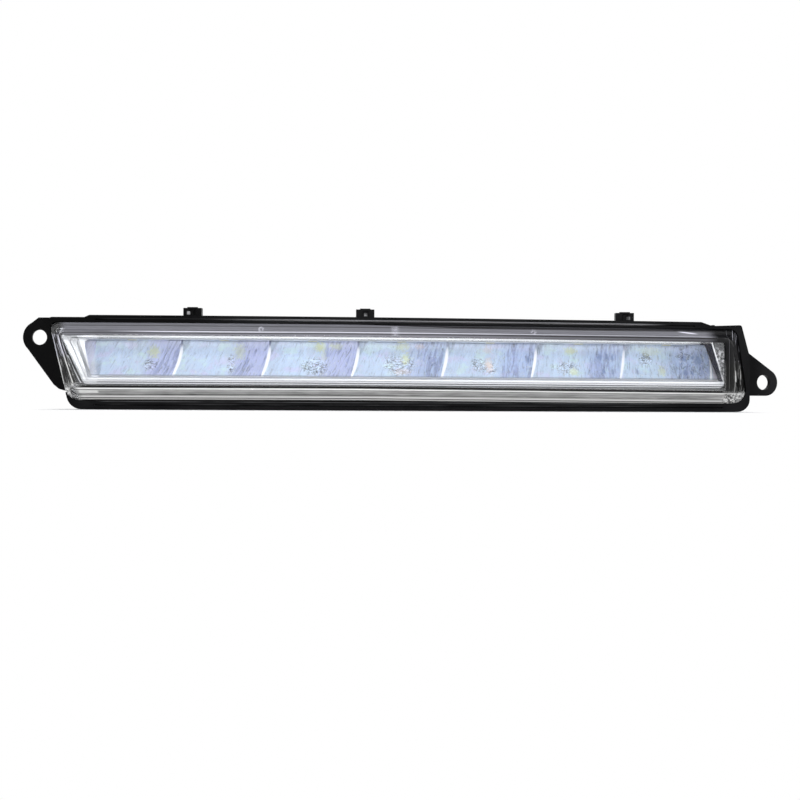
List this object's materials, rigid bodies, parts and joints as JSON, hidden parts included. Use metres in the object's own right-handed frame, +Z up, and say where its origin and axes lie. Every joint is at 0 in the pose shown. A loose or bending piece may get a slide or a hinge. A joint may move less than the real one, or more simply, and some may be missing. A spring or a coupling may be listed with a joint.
{
  "type": "daytime running light",
  "caption": "Long bowed car daytime running light: black housing with two screw ears and clip tabs, clear lens, bright bezel, fluted reflector cells and driver box.",
  "frame": {"origin": "centre of the left ear's hole, on the ear's rear mounting face", "axes": "+X along the lamp towards the swept ear, +Z up, the lens looks towards -Y"},
  "size_m": [0.4505, 0.072, 0.0603],
  "materials": {
    "housing_black": "moulded, satin with fine grain",
    "seal_rubber": "matte",
    "clear_lens": "clear, polished",
    "bright_bezel": "metallised, bright",
    "bright_reflector": "metallised, bright, faintly blue",
    "screw_steel": "zinc plated",
    "board_green": "solder mask",
    "board_white": "white solder mask",
    "led_package": "white case with a yellow phosphor field",
    "sink_aluminium": "extruded, satin",
    "chip_black": "moulded",
    "coil_copper": "enamelled winding on a dark core",
    "can_aluminium": "bright can",
    "cover_black": "moulded, satin",
    "connector_black": "moulded, satin",
    "ring_rubber": "silicone",
    "pin_brass": "plated",
    "lead_red": "insulated lead",
    "lead_black": "insulated lead",
    "vent_grey": "moulded"
  },
  "bodies": {
    "root": {"housing": "housing_black", "lens_seal": "seal_rubber", "outer_lens": "clear_lens", "bezel": "bright_bezel", "reflector": "bright_reflector", "reflector_screws": "screw_steel", "led_board": "board_white", "led_1": "led_package", "led_2": "led_package", "led_3": "led_package", "led_4": "led_package", "led_5": "led_package", "led_6": "led_package", "led_7": "led_package", "heat_sink": "sink_aluminium", "heat_sink_screws": "screw_steel", "driver_board": "board_green", "control_chip": "chip_black", "power_coil": "coil_copper", "filter_capacitors": "can_aluminium", "board_screws": "screw_steel", "driver_cover": "cover_black", "cover_gasket": "seal_rubber", "cover_screws": "screw_steel", "connector_socket": "connector_black", "connector_seal": "ring_rubber", "connector_pins": "pin_brass", "lead_positive": "lead_red", "lead_negative": "lead_black", "vent_plug": "vent_grey"}
  },
  "joints": []
}
